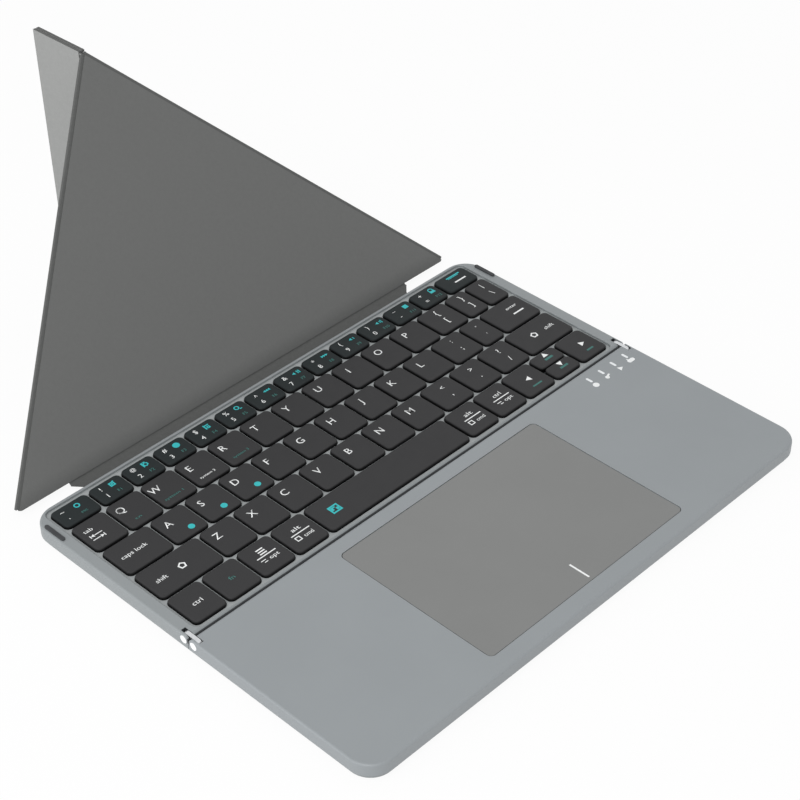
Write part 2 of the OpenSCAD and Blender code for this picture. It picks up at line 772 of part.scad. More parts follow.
module right_fin() {
    wing_folded() translate([0, apex_h, 0]) rotate([fin_fold, 0, 0])
        translate([0, -apex_h, -panel_t / 2]) linear_extrude(panel_t) intersection() {
            sheet();
            translate([apex[0], apex_h + fin_crease]) square([edge_x, fin_h]);
        }
}

module cover_right_wing() color([0.42, 0.42, 0.42]) on_cover() right_wing();
module cover_right_fin() color([0.45, 0.45, 0.45]) on_cover() right_fin();
module cover_left_wing() color([0.42, 0.42, 0.42]) on_cover() mirror([1, 0, 0]) right_wing();
module cover_left_fin() color([0.45, 0.45, 0.45]) on_cover() mirror([1, 0, 0]) right_fin();

keyboard_top_case();
keyboard_bottom_cover();
key_support_plate();
switch_membrane();
rubber_domes();
scissor_frames();
space_bar_stabilizer();
keyboard_bumpers();
keyboard_feet();
keyboard_screws();
keyboard_magnets();
keyboard_hinge_pins();
number_keys();
top_row_keys();
home_row_keys();
bottom_row_keys();
backtick_key();
backspace_key();
tab_key();
backslash_key();
caps_lock_key();
enter_key();
left_shift_key();
right_shift_key();
left_ctrl_key();
fn_key();
menu_key();
left_alt_key();
space_bar();
right_alt_key();
right_ctrl_key();
left_arrow_key();
up_arrow_key();
down_arrow_key();
right_arrow_key();
hinge_link_left();
hinge_link_right();
touchpad_top_case();
touchpad_bottom_cover();
touchpad_sheet();
touchpad_board();
click_switch();
main_board();
battery();
charging_socket();
power_slider();
indicator_lenses();
touchpad_feet();
touchpad_screws();
touchpad_magnets();
touchpad_hinge_pins();
cover_anchor();
cover_spine();
cover_front_panel();
cover_left_wing();
cover_right_wing();
cover_left_fin();
cover_right_fin();
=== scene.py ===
import math

import bmesh
import bpy
from mathutils import Matrix, Vector


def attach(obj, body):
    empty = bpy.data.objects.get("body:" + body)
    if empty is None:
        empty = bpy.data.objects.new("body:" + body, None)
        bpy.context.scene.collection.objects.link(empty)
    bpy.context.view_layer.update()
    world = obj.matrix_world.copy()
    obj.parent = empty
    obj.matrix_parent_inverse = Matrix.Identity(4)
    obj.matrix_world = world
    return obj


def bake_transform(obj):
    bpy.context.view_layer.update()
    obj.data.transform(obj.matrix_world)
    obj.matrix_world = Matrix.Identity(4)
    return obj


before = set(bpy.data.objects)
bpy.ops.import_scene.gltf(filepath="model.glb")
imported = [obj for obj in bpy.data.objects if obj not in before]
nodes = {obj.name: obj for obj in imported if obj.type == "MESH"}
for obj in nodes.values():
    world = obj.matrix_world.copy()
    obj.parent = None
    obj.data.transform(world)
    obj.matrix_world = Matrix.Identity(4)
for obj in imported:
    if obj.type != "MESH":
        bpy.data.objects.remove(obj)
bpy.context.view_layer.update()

MM = 0.001

# Places on the part, in millimetres from the origin
SEAM_Y = -67.4391  # the seam between the halves
CASE_TOP = 8.8
CAP_TOP = 9.1
TRAY_FLOOR = 7.6
PAD_TOP = 8.65
TRAY_X = (-119.4, 119.4)
TRAY_Y = (SEAM_Y + 1.1, SEAM_Y + 92.2)
TRAY_UNDER = 2.0  # below it the tray floor's painted light ends
SEAM_HALF = 0.6  # half the width of the painted shade in the seam
# below this height the seam's painted shade ends
SEAM_UNDER = 6.0
SLOT_X = (121.2, 123.5)  # the slot of each hinge link, on either side
SLOT_REACH = 6.3

# Painted shade that two finishes share, as colours out of 255
SLOT_PAINTED_SHADE = (56, 58, 60)
SEAM_PAINTED_SHADE = (76, 78, 80)
# painted shade down the caps' skirts, nearly black at their foot
PAINTED_SKIRT_SHADE = (4, 4, 4)


# ---------------------------------------------------------------- camera

def place_camera():
    """The camera of the main view: 89.9 mm lens, its axes and place fitted once."""
    cam = bpy.data.cameras.new("camera")
    cam.lens = 89.9
    cam.sensor_width = 36
    cam.clip_start = 0.05
    cam.clip_end = 20
    obj = bpy.data.objects.new("camera", cam)
    bpy.context.scene.collection.objects.link(obj)
    right = Vector((0.6955, -0.71852, -0.00243))
    down = Vector((-0.44658, -0.42961, -0.78485))
    ahead = Vector((0.56289, 0.54695, -0.61968))
    turn = Matrix((right, -down, -ahead)).transposed().to_4x4()
    place = Vector((-438.7, -412.5 + SEAM_Y, 523.1)) * MM
    obj.matrix_world = Matrix.Translation(place) @ turn
    bpy.context.scene.camera = obj


# ---------------------------------------------------------------- materials

class Finish:
    """A node material with a principled shader and short ways to add nodes to it."""

    def __init__(self, name, colour, roughness, **sockets):
        self.mat = bpy.data.materials.new(name)
        self.mat.use_nodes = True
        self.tree = self.mat.node_tree
        self.shader = self.tree.nodes["Principled BSDF"]
        self.shader.inputs["Base Color"].default_value = linear(colour)
        self.shader.inputs["Roughness"].default_value = roughness
        for socket, value in sockets.items():
            self.shader.inputs[socket.replace("_", " ")].default_value = value
        self.colour = colour
        self.coord = self.add("ShaderNodeTexCoord").outputs["Object"]
        self.base = None

    def add(self, kind, **settings):
        node = self.tree.nodes.new(kind)
        for key, value in settings.items():
            setattr(node, key, value)
        return node

    def link(self, a, b):
        self.tree.links.new(a, b)

    def stretched(self, scale):
        node = self.add("ShaderNodeMapping")
        node.inputs["Scale"].default_value = scale
        self.link(self.coord, node.inputs["Vector"])
        return node.outputs["Vector"]

    def noise(self, scale, detail, vector=None):
        node = self.add("ShaderNodeTexNoise")
        node.inputs["Scale"].default_value = scale
        node.inputs["Detail"].default_value = detail
        self.link(vector or self.coord, node.inputs["Vector"])
        return node.outputs["Fac"]

    def cells(self, scale, feature="F1"):
        node = self.add("ShaderNodeTexVoronoi", feature=feature)
        node.inputs["Scale"].default_value = scale
        self.link(self.coord, node.inputs["Vector"])
        return node.outputs["Distance"]

    def ramp(self, value, stops):
        """Colours along value, from stops of (place, colour)."""
        node = self.add("ShaderNodeValToRGB")
        self.link(value, node.inputs["Fac"])
        marks = node.color_ramp.elements
        while len(marks) < len(stops):
            marks.new(0.5)
        for mark, (place, colour) in zip(marks, stops):
            mark.position = place
            mark.color = linear(colour)
        return node.outputs["Color"]

    def paint(self, colour_output):
        self.base = colour_output
        self.link(colour_output, self.shader.inputs["Base Color"])

    def tint(self, value, spread, low=0.35, high=0.65):
        """Base colour that drifts darker and paler with value."""
        dark = tuple(max(0, c - spread) for c in self.colour)
        pale = tuple(min(255, c + spread) for c in self.colour)
        self.paint(self.ramp(value, [(low, dark), (high, pale)]))

    def axes(self):
        """The object's X, Y and Z at the shaded point, in metres."""
        parts = self.add("ShaderNodeSeparateXYZ")
        self.link(self.coord, parts.inputs["Vector"])
        return parts.outputs

    def by_height(self, stops, z0, z1):
        """Base colour that changes with height, from z0 to z1 millimetres."""
        span = self.add("ShaderNodeMapRange")
        span.inputs["From Min"].default_value = z0 * MM
        span.inputs["From Max"].default_value = z1 * MM
        self.link(self.axes()["Z"], span.inputs["Value"])
        self.paint(self.ramp(span.outputs["Result"], stops))

    def patch(self, colour, both_ends=False, **spans):
        """Another base colour inside a box, whose spans are x=(low, high) and so on.

        With both_ends, the span of x holds on either side of the middle.
        """
        axes = self.axes()
        mask = None
        for axis, (low, high) in spans.items():
            place = axes[axis.upper()]
            if axis == "x" and both_ends:
                size = self.add("ShaderNodeMath", operation="ABSOLUTE")
                self.link(place, size.inputs[0])
                place = size.outputs[0]
            inside = self.add("ShaderNodeMath", operation="COMPARE")
            inside.inputs[1].default_value = (low + high) / 2 * MM
            inside.inputs[2].default_value = (high - low) / 2 * MM
            self.link(place, inside.inputs[0])
            if mask is None:
                mask = inside.outputs[0]
            else:
                product = self.add("ShaderNodeMath", operation="MULTIPLY")
                self.link(mask, product.inputs[0])
                self.link(inside.outputs[0], product.inputs[1])
                mask = product.outputs[0]
        mix = self.add("ShaderNodeMix", data_type="RGBA")
        self.link(mask, mix.inputs[0])
        self.link(self.base, mix.inputs[6])
        mix.inputs[7].default_value = linear(colour)
        self.paint(mix.outputs[2])

    def gloss(self, value, low, high):
        """Roughness between low and high, over the middle of the range of value."""
        node = self.add("ShaderNodeMapRange")
        node.inputs["From Min"].default_value = 0.3
        node.inputs["From Max"].default_value = 0.7
        node.inputs["To Min"].default_value = low
        node.inputs["To Max"].default_value = high
        self.link(value, node.inputs["Value"])
        self.link(node.outputs["Result"], self.shader.inputs["Roughness"])

    def relief(self, value, depth_mm, strength):
        node = self.add("ShaderNodeBump")
        node.inputs["Strength"].default_value = strength
        node.inputs["Distance"].default_value = depth_mm * MM
        self.link(value, node.inputs["Height"])
        self.link(node.outputs["Normal"], self.shader.inputs["Normal"])


def linear(colour):
    """A colour out of 255, as the shader's own numbers."""
    def one(c):
        c = c / 255
        return c / 12.92 if c <= 0.04045 else ((c + 0.055) / 1.055) ** 2.4
    return (*(one(c) for c in colour[:3]), 1.0)


def moulded(name, colour, roughness, grain=2600, depth=0.012, spread=2):
    """Satin moulded plastic: a fine spark-eroded grain and a faint drift of shade."""
    f = Finish(name, colour, roughness)
    f.tint(f.noise(35, 3), spread)
    f.gloss(f.noise(420, 2), roughness - 0.008, roughness + 0.008)
    f.relief(f.noise(grain, 3), depth, 0.6)
    return f.mat


def cap_finish(name, colour, edge):
    """Key cap plastic, with painted shade over the rounded edge and down the skirt, darkest at the
    foot.
    """
    f = Finish(name, colour, 0.52)
    f.shader.inputs["Specular IOR Level"].default_value = 0.12
    # painted shade: the colour darkens from the top over the rounded edge and down the skirt
    f.by_height([(0.0, PAINTED_SKIRT_SHADE), (0.3, PAINTED_SKIRT_SHADE), (0.75, edge), (0.98, colour)],
                TRAY_FLOOR, CAP_TOP)
    f.gloss(f.noise(180, 2), 0.48, 0.57)
    f.relief(f.noise(2200, 3), 0.012, 0.6)
    return f.mat


def case_finish(name, colour, tray=None):
    """The shell's satin paint, with painted shade in the link slots and along the seam.

    Where tray is given, the floor of the key tray has that paler colour, painted light that stands
    in for the light reaching the floor between the caps.
    """
    roughness = 0.42
    f = Finish(name, colour, roughness)
    f.tint(f.noise(35, 3), 1)
    if tray:
        # painted light: the tray floor made paler where the caps would shade it
        f.patch(tray, x=TRAY_X, y=TRAY_Y, z=(TRAY_UNDER, TRAY_FLOOR + 0.15))
    # painted shade along the seam's groove
    f.patch(SEAM_PAINTED_SHADE, y=(SEAM_Y - SEAM_HALF, SEAM_Y + SEAM_HALF), z=(SEAM_UNDER, CASE_TOP - 0.5))
    # painted shade in the deep slots of the hinge links
    f.patch(SLOT_PAINTED_SHADE, both_ends=True, x=SLOT_X, y=(SEAM_Y - SLOT_REACH, SEAM_Y + SLOT_REACH),
            z=(0, CASE_TOP - 0.12))
    f.gloss(f.noise(420, 2), roughness - 0.008, roughness + 0.008)
    f.relief(f.noise(2600, 3), 0.012, 0.6)
    return f.mat


def rubber(name, colour):
    """Dull rubber with a fine pitted face."""
    f = Finish(name, colour, 0.72)
    f.tint(f.noise(220, 4), 5)
    f.relief(f.cells(1800), 0.02, 0.5)
    return f.mat


def metal(name, colour, roughness, brush=(400, 6000, 6000), metallic=1.0):
    """Brushed metal, with the brush marks along X."""
    f = Finish(name, colour, roughness, Metallic=metallic)
    streaks = f.noise(1, 3, f.stretched(brush))
    f.tint(streaks, 8, 0.3, 0.7)
    f.gloss(streaks, roughness - 0.06, roughness + 0.08)
    f.relief(streaks, 0.006, 0.4)
    return f.mat


def printed(name, colour):
    """Ink on a cap or on the case."""
    f = Finish(name, colour, 0.5)
    f.tint(f.noise(900, 2), 4)
    f.relief(f.noise(3000, 2), 0.004, 0.4)
    return f.mat


def lens(name, colour):
    """The smooth plastic of an indicator."""
    f = Finish(name, colour, 0.2)
    f.tint(f.noise(600, 2), 4)
    f.relief(f.noise(900, 2), 0.004, 0.4)
    return f.mat


def grained_skin(name, colour, painted_foot_shade=None):
    """The cover's skin: fine pebbled grain, with painted shade down at the foot if a second colour
    is given.
    """
    f = Finish(name, colour, 0.62)
    pebbles = f.cells(1500, "SMOOTH_F1")
    mix = f.add("ShaderNodeMath", operation="ADD")
    f.link(pebbles, mix.inputs[0])
    f.link(f.noise(2600, 3), mix.inputs[1])
    if painted_foot_shade:
        f.by_height([(0.0, painted_foot_shade), (0.12, painted_foot_shade), (1.0, colour)], 2, 9)
    else:
        f.tint(f.noise(900, 3), 2)
    f.gloss(f.noise(700, 3), 0.55, 0.7)
    f.relief(mix.outputs[0], 0.05, 0.55)
    return f.mat


def circuit_board(name, colour):
    """Lacquered board with the faint lines of its tracks."""
    f = Finish(name, colour, 0.35)
    lines = f.add("ShaderNodeTexWave", wave_type="BANDS", bands_direction="DIAGONAL")
    lines.inputs["Scale"].default_value = 220
    lines.inputs["Distortion"].default_value = 6
    f.link(f.coord, lines.inputs["Vector"])
    f.tint(lines.outputs["Fac"], 10, 0.4, 0.6)
    f.relief(lines.outputs["Fac"], 0.02, 0.3)
    return f.mat


# ---------------------------------------------------------------- shapes

WELD = 1e-7  # metres within which corners of a new piece are merged
INK = 0.02  # thickness of a print
LAYER = 0.004  # step from one mark to the next above it
LAYERS = 4
CAPITAL = 0.69  # height of a capital in the built-in font, as a share of the font's size
SWELL = 0.015  # how much a letter's outline is widened


def made_piece(name, bm, mat, body):
    """Turns a bmesh into a piece that rides on body."""
    bmesh.ops.remove_doubles(bm, verts=bm.verts, dist=WELD)
    bmesh.ops.recalc_face_normals(bm, faces=bm.faces)
    mesh = bpy.data.meshes.new(name)
    bm.to_mesh(mesh)
    bm.free()
    obj = bpy.data.objects.new(name, mesh)
    bpy.context.scene.collection.objects.link(obj)
    mesh.materials.append(mat)
    if body:
        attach(obj, body)
    return obj


class Sheet:
    """Gathers the printed marks of one colour on one body.

    Marks that cross must not share a plane, so each lies one layer above the one before it, in
    a cycle of four layers.
    """

    def __init__(self, name, body, mat, z=CAP_TOP):
        self.name, self.body, self.mat, self.z = name, body, mat, z
        self.bm = bmesh.new()
        self.count = 0

    def lay(self, made, x, y):
        """Moves a mark from the origin to x, y on the surface."""
        self.count += 1
        z = self.z + INK + LAYER * (self.count % LAYERS)
        bmesh.ops.translate(self.bm, verts=made, vec=Vector((x, y, z)) * MM)
        return made

    def bar(self, x, y, w, d):
        """A bar centred at x, y."""
        made = bmesh.ops.create_grid(self.bm, x_segments=1, y_segments=1, size=0.5)["verts"]
        bmesh.ops.scale(self.bm, verts=made, vec=Vector((w, d, 1)) * MM)
        return self.lay(made, x, y)

    def disc(self, x, y, r, segments=20):
        """A disc, or a plane shape of that many equal sides."""
        made = bmesh.ops.create_circle(self.bm, cap_ends=True, radius=r * MM,
                                       segments=segments)["verts"]
        return self.lay(made, x, y)

    def ring(self, x, y, r, w, segments=20, turn=0.0):
        """An outline of width w inside a disc or an equal-sided shape."""
        made = self.disc(x, y, r, segments)
        face = made[0].link_faces[0]
        if turn:
            self.turn(made, x, y, turn)
        bmesh.ops.inset_individual(self.bm, faces=[face], thickness=w * MM,
                                   use_even_offset=True)
        bmesh.ops.delete(self.bm, geom=[face], context="FACES")

    def wedge(self, x, y, r, turn):
        """A triangle that points towards +Y before it is turned."""
        self.turn(self.disc(x, y, r, 3), x, y, turn)

    def turn(self, verts, x, y, angle):
        bmesh.ops.rotate(self.bm, verts=verts, cent=Vector((x, y, self.z)) * MM,
                         matrix=Matrix.Rotation(angle, 3, "Z"))

    def text(self, words, x, y, height, width=None):
        """Words centred at x, y, in capitals of this height, squeezed to width if given."""
        curve = bpy.data.curves.new(self.name + "_text", "FONT")
        curve.body = words
        curve.size = height * MM / CAPITAL
        curve.offset = SWELL * MM
        curve.resolution_u = 3
        holder = bpy.data.objects.new(self.name + "_text", curve)
        mesh = holder.to_mesh().copy()
        xs = [v.co.x for v in mesh.vertices]
        ys = [v.co.y for v in mesh.vertices]
        middle = Vector(((min(xs) + max(xs)) / 2, (min(ys) + max(ys)) / 2, 0))
        wide = width * MM / (max(xs) - min(xs)) if width else 1.0
        place = Matrix.Translation(Vector((x, y, self.z + INK)) * MM)
        mesh.transform(place @ Matrix.Diagonal((wide, 1, 1, 1)) @ Matrix.Translation(-middle))
        self.bm.from_mesh(mesh)
        bpy.data.objects.remove(holder)
        bpy.data.curves.remove(curve)
        bpy.data.meshes.remove(mesh)

    def done(self, slot="key_cap"):
        bmesh.ops.solidify(self.bm, geom=self.bm.faces[:], thickness=-INK * MM)
        return made_piece(self.name, self.bm, self.mat, self.body)


# ---------------------------------------------------------------- key legends

# Places on the keys are given as u to the right and v to the rear, in pitches from a point near
# the key of A
PITCH = 17.5  # distance between two letter keys
MIDDLE_U = 5.32  # u of the part's middle
SEAM_V = -2.76  # v of the seam

LEFT, RIGHT = math.radians(90), math.radians(-90)
SQUARE = (4, math.radians(45))  # sides and turn of a ring that is a square

# The signs and the icons stand at even steps on the number keys
FIRST_SIGN, SIGN_STEP = -0.075, 0.9452
FIRST_ICON, ICON_STEP = 0.235, 0.9516
BACKTICK_SIGN, BACKTICK_ICON = -1.16, -0.775


def spot(u, v):
    """A place on the keys as millimetres from the origin."""
    return (u - MIDDLE_U) * PITCH, SEAM_Y + (v - SEAM_V) * PITCH


def word(sheet, words, u, v, height, width=None):
    """Text centred at u, v. Where width is given it is stretched or narrowed to it."""
    x, y = spot(u, v)
    sheet.text(words, x, y, height, width)


def line(sheet, u, v, w, d):
    """A bar of w by d millimetres centred at u, v."""
    x, y = spot(u, v)
    sheet.bar(x, y, w, d)


def pointer(sheet, u, v, r, degrees):
    """A triangle centred at u, v, turned that much from pointing to the rear."""
    x, y = spot(u, v)
    sheet.wedge(x, y, r, math.radians(degrees))


def shift_arrow(sheet, u, v):
    """The shift key's arrow, as a five-sided outline."""
    x, y = spot(u, v)
    sheet.ring(x, y, 1.9, 0.6, 5)


def system_key(sheet, u, upper, lower, mark=True):
    """A word over a line over a second word, with a plain square or bars beside it."""
    if upper:
        word(sheet, upper, u, -1.92, 2.1, 4.4)
    line(sheet, u + 0.01, -2.07, 9.4, 0.5)
    word(sheet, lower, u + 0.12, -2.225, 1.9, 4.6)
    x, y = spot(u - 0.17, -2.21)
    if mark:
        sheet.ring(x, y, 1.75, 0.42, *SQUARE)
    else:
        sheet.bar(x, y + 0.65, 2.4, 0.35)
        sheet.bar(x + 0.5, y - 0.55, 1.6, 0.35)


# The plain mark of each cap in the number row, from its left end: the kinds of shape, each with
# its offset from the mark's place and its sizes in millimetres
ICONS = (
    (("ring", 0, 0, 1.35, 0.55, 24),),
    (("ring", 0, 0, 1.75, 0.6, *SQUARE), ("disc", 0, 0, 0.5), ("bar", 1.1, 1.35, 0.8, 0.4)),
    (("bar", -0.9, 0, 0.6, 3.0), ("ring", 0.4, -0.2, 1.3, 0.5, 6), ("bar", 0.2, 1.25, 1.6, 0.4)),
    (("disc", 0, 0, 1.6, 24),),
    (("bar", -1.1, 0, 0.6, 3.0), ("ring", 0.3, -0.6, 1.05, 0.5, *SQUARE),
     ("bar", 0.2, 0.9, 2.2, 0.6)),
    (("ring", -0.2, 0.3, 1.25, 0.5), ("bar", 1.1, -1.1, 1.1, 0.5)),
    tuple(("wedge", 1.15 * k, 0, 0.85, LEFT) for k in (-1, 0, 1)),
    (("wedge", -1.0, 0, 1.0, LEFT), ("bar", 0.9, 0, 0.5, 2.0), ("bar", 1.8, 0, 0.5, 2.0)),
    tuple(("wedge", 1.15 * k, 0, 0.85, RIGHT) for k in (-1, 0, 1)),
    (("wedge", -0.6, 0, 1.0, LEFT), ("bar", 1.0, 0, 0.4, 1.4)),
    (("wedge", -0.9, 0, 1.0, LEFT), ("bar", 0.7, 0, 0.4, 1.4), ("bar", 1.5, 0, 0.4, 2.2)),
    (("ring", 0, 0, 1.7, 0.7, *SQUARE), ("bar", 0, 0, 1.0, 1.0)),
    (("ring", 0, 0.5, 1.3, 0.45), ("bar", 0, -0.9, 2.8, 1.5)),
)


def function_icon(sheet, n, u, v):
    """The plain mark for the second use of a cap in the number row."""
    x, y = spot(u, v)
    for kind, dx, dy, *sizes in ICONS[n]:
        getattr(sheet, kind)(x + dx, y + dy, *sizes)


def number_marks(white, teal, dim, n, symbol, digit, label):
    """Sign over digit, and icon over label, on cap n of the number row."""
    left = BACKTICK_SIGN if n == 0 else FIRST_SIGN + (n - 1) * SIGN_STEP
    icon = BACKTICK_ICON if n == 0 else FIRST_ICON + (n - 1) * ICON_STEP
    word(white, symbol, left, 2.175, 2.4 if symbol != "@" else 1.8)
    word(white, digit, left, 1.90, 2.4)
    function_icon(teal, n, icon, 2.145)
    word(dim, label, icon + 0.01, 1.88, 1.6)


def number_row(sheets):
    white, teal, dim = sheets("backtick_key", "white", "teal", "dim")
    number_marks(white, teal, dim, 0, "~", "`", "esc")
    white, teal, dim = sheets("number_keys", "white", "teal", "dim")
    for n, (symbol, digit) in enumerate(zip("!@#$%^&*()_+", "1234567890-="), 1):
        number_marks(white, teal, dim, n, symbol, digit, "F%d" % n)
    white, teal = sheets("backspace_key", "white", "teal")
    line(white, 11.6, 1.955, 6.8, 0.8)
    line(teal, 11.57, 2.21, 8.2, 0.7)
    line(teal, 11.55, 2.165, 6.4, 0.35)


def top_row(sheets):
    white, dim = sheets("top_row_keys", "white", "dim")
    for letter, u in zip("QWERTYUIOP", (-0.237, 0.747, 1.77, 2.79, 3.80, 4.81, 5.85, 6.86,
                                        7.89, 8.86)):
        word(white, letter, u + 0.02, 1.29, 3.5)
    word(white, "{", 10.07, 1.35, 3.4)
    word(white, "[", 10.07, 0.985, 3.2)
    word(white, "}", 10.98, 1.35, 3.4)
    word(white, "]", 10.98, 0.985, 3.2)
    word(dim, "cn", -0.07, 0.85, 1.3, 3.0)
    word(dim, "system 1", 0.97, 0.85, 1.3, 9.4)
    word(white, "system 2", 1.97, 0.85, 1.15, 7.8)
    word(dim, "system 3", 2.99, 0.85, 1.3, 8.2)
    white = sheets("tab_key", "white")
    word(white, "tab", -1.14, 1.31, 1.9, 4.2)
    for u, v, k in ((-1.05, 1.09, 1), (-1.12, 0.965, -1)):
        line(white, u + 0.03 * k, v, 3.6, 0.4)
        pointer(white, u - 0.115 * k, v, 0.95, 90 * k)
        line(white, u - 0.185 * k, v, 0.4, 1.7)
    white = sheets("backslash_key", "white")
    word(white, "|", 11.74, 1.35, 2.8)
    word(white, "\\", 11.74, 0.99, 3.0)


def home_row(sheets):
    white, teal = sheets("home_row_keys", "white", "teal")
    for letter, u in zip("ASDFGHJKL", (0.20, 1.167, 2.19, 3.18, 4.22, 5.22, 6.23, 7.25, 8.25)):
        word(white, letter, u + 0.015, 0.2, 3.5)
    word(white, ":", 9.47, 0.29, 2.6)
    word(white, ";", 9.47, -0.10, 3.0)
    word(white, '"', 10.35, 0.285, 1.6)
    word(white, "'", 10.35, -0.095, 1.6)
    for u in (0.54, 1.50, 2.515):
        x, y = spot(u, -0.217)
        teal.disc(x, y, 1.42, 28)
    white = sheets("caps_lock_key", "white")
    word(white, "caps lock", -0.85, 0.06, 2.0, 12.4)
    white = sheets("enter_key", "white")
    word(white, "enter", 11.59, 0.215, 1.6, 6.4)
    line(white, 11.59, -0.045, 6.3, 0.8)


def bottom_row(sheets):
    white = sheets("bottom_row_keys", "white")
    for letter, u in zip("ZXCVBNM", (0.71, 1.735, 2.72, 3.76, 4.74, 5.76, 6.78)):
        word(white, letter, u + 0.01, -0.865, 3.5)
    for upper, lower, u in (("<", ",", 7.96), (">", ".", 8.965), ("?", "/", 9.98)):
        word(white, upper, u, -0.80, 2.7 if upper != "?" else 3.0)
        word(white, lower, u, -1.19, 3.2 if lower != "/" else 3.0)
    white = sheets("left_shift_key", "white")
    word(white, "shift", -1.01, -1.02, 2.0, 5.3)
    shift_arrow(white, -0.43, -1.02)
    white = sheets("right_shift_key", "white")
    shift_arrow(white, 11.10, -0.99)
    word(white, "shift", 11.63, -1.0, 1.9, 5.3)


def space_bar_row(sheets):
    white = sheets("left_ctrl_key", "white")
    word(white, "ctrl", -0.946, -2.09, 2.2, 4.6)
    dim = sheets("fn_key", "dim")
    word(dim, "fn", 0.05, -2.07, 2.0, 2.6)
    white = sheets("menu_key", "white")
    for dv in (-0.075, 0.0, 0.075):
        line(white, 1.045, -1.92 + dv, 3.4, 0.6)
    system_key(white, 1.05, None, "opt", mark=False)
    white = sheets("left_alt_key", "white")
    system_key(white, 2.06, "alt", "cmd")
    white = sheets("right_alt_key", "white")
    system_key(white, 7.65, "alt", "cmd")
    white = sheets("right_ctrl_key", "white")
    system_key(white, 8.66, "ctrl", "opt", mark=False)
    teal = sheets("space_bar", "teal")
    for du, dv, w, d in ((0, 0.103, 4.9, 0.75), (0, -0.103, 4.9, 0.75), (-0.12, 0, 0.7, 4.4),
                         (0.12, 0, 0.7, 4.4), (-0.065, 0.02, 1.1, 2.0), (0.062, -0.03, 1.2, 1.5),
                         (0.0, 0.05, 1.3, 0.7)):
        line(teal, 3.135 + du, -2.07 + dv, w, d)
    for body, u, v, turn, bar_v, w, d in (
            ("left_arrow_key", 9.67, -2.06, 90, -2.345, 5.4, 0.8),
            ("right_arrow_key", 11.63, -2.06, -90, -2.345, 3.8, 0.9),
            ("up_arrow_key", 10.64, -1.725, 0, -1.865, 4.6, 1.2),
            ("down_arrow_key", 10.65, -2.195, 180, -2.345, 4.6, 1.1)):
        white, dim = sheets(body, "white", "dim")
        pointer(white, u, v, 1.75, turn)
        line(dim, u, bar_v, w, d)


def print_legends(inks):
    """Prints all five rows in inks, the materials by the names white, teal and dim."""
    begun = []

    def sheets(body, *names):
        made = [Sheet(body + "_" + name + "_print", body, inks[name]) for name in names]
        begun.extend(made)
        return made if len(made) > 1 else made[0]

    for row in (number_row, top_row, home_row, bottom_row, space_bar_row):
        row(sheets)
    for sheet in begun:
        sheet.done()


# ---------------------------------------------------------------- palm rest marks

def print_case_marks(white_ink):
    """Plain icons in front of the four indicator lenses, and the line on the touchpad."""
    icons = Sheet("palm_rest_icons", "touchpad_half", white_ink, CASE_TOP)
    y = SEAM_Y - 10.7
    first, step = 92.9, 7.85
    icons.disc(first, y, 1.45, 20)
    icons.disc(first + step - 0.5, y - 0.1, 1.0, 16)
    icons.turn(icons.bar(first + step + 0.6, y + 0.3, 2.8, 0.9), first + step, y, 0.35)
    icons.wedge(first + 2 * step + 0.2, y - 0.1, 1.6, math.radians(30))
    for dx in (-0.95, 0.95):
        icons.disc(first + 3 * step + dx, y + 0.3, 1.05, 18)
    icons.bar(first + 3 * step, y + 0.3, 1.9, 2.1)
    icons.bar(first + 3 * step - 0.9, y + 1.6, 0.5, 1.2)
    icons.done("case_top")
    mark = Sheet("click_line_print", "touchpad", white_ink, PAD_TOP)
    mark.bar(1.0, SEAM_Y - 78.7, 0.8, 9.6)
    mark.done("touchpad")


# ---------------------------------------------------------------- soft creases

# The cover at rest, in degrees: slope of the front panel and of the strip that joins the cover
# to the case, and the bends of the long creases and of the creases at the fins
LEAN, TILT = 52.69676, 6.84277
WING_FOLD, FIN_FOLD = 130.88239, 54.0

# Millimetres: half the width of the front panel at its foot and at its upper end, and the
# distance between the two; then the line of its foot, and the line that the strip turns on
EDGE_X, APEX_X, APEX_H = 124.5, 0.85, 152.8398
COVER_Y, COVER_Z = 104.1 + SEAM_Y, 2.6
SPINE_Y, SPINE_Z = COVER_Y - 10.0, 1.4

# Millimetres from a crease to the boards on either side of it
LONG_SETBACK, FIN_SETBACK, BASE_SETBACK = 1.9, 0.55, 0.77
LONG_RADIUS = 0.36  # of the bend in a long crease; the other bends fill their setback
LAP = 0.35  # how far the skin runs into the boards
SKIN = 0.6

# The rolled strip at the rear edge of the anchor: width, thickness, radius, and the degrees at
# its end that the joining strip fills
ROOT_W, ROOT_SKIN, ROOT_R, ROOT_HIDDEN = 184.6, 0.34, 1.1, 24


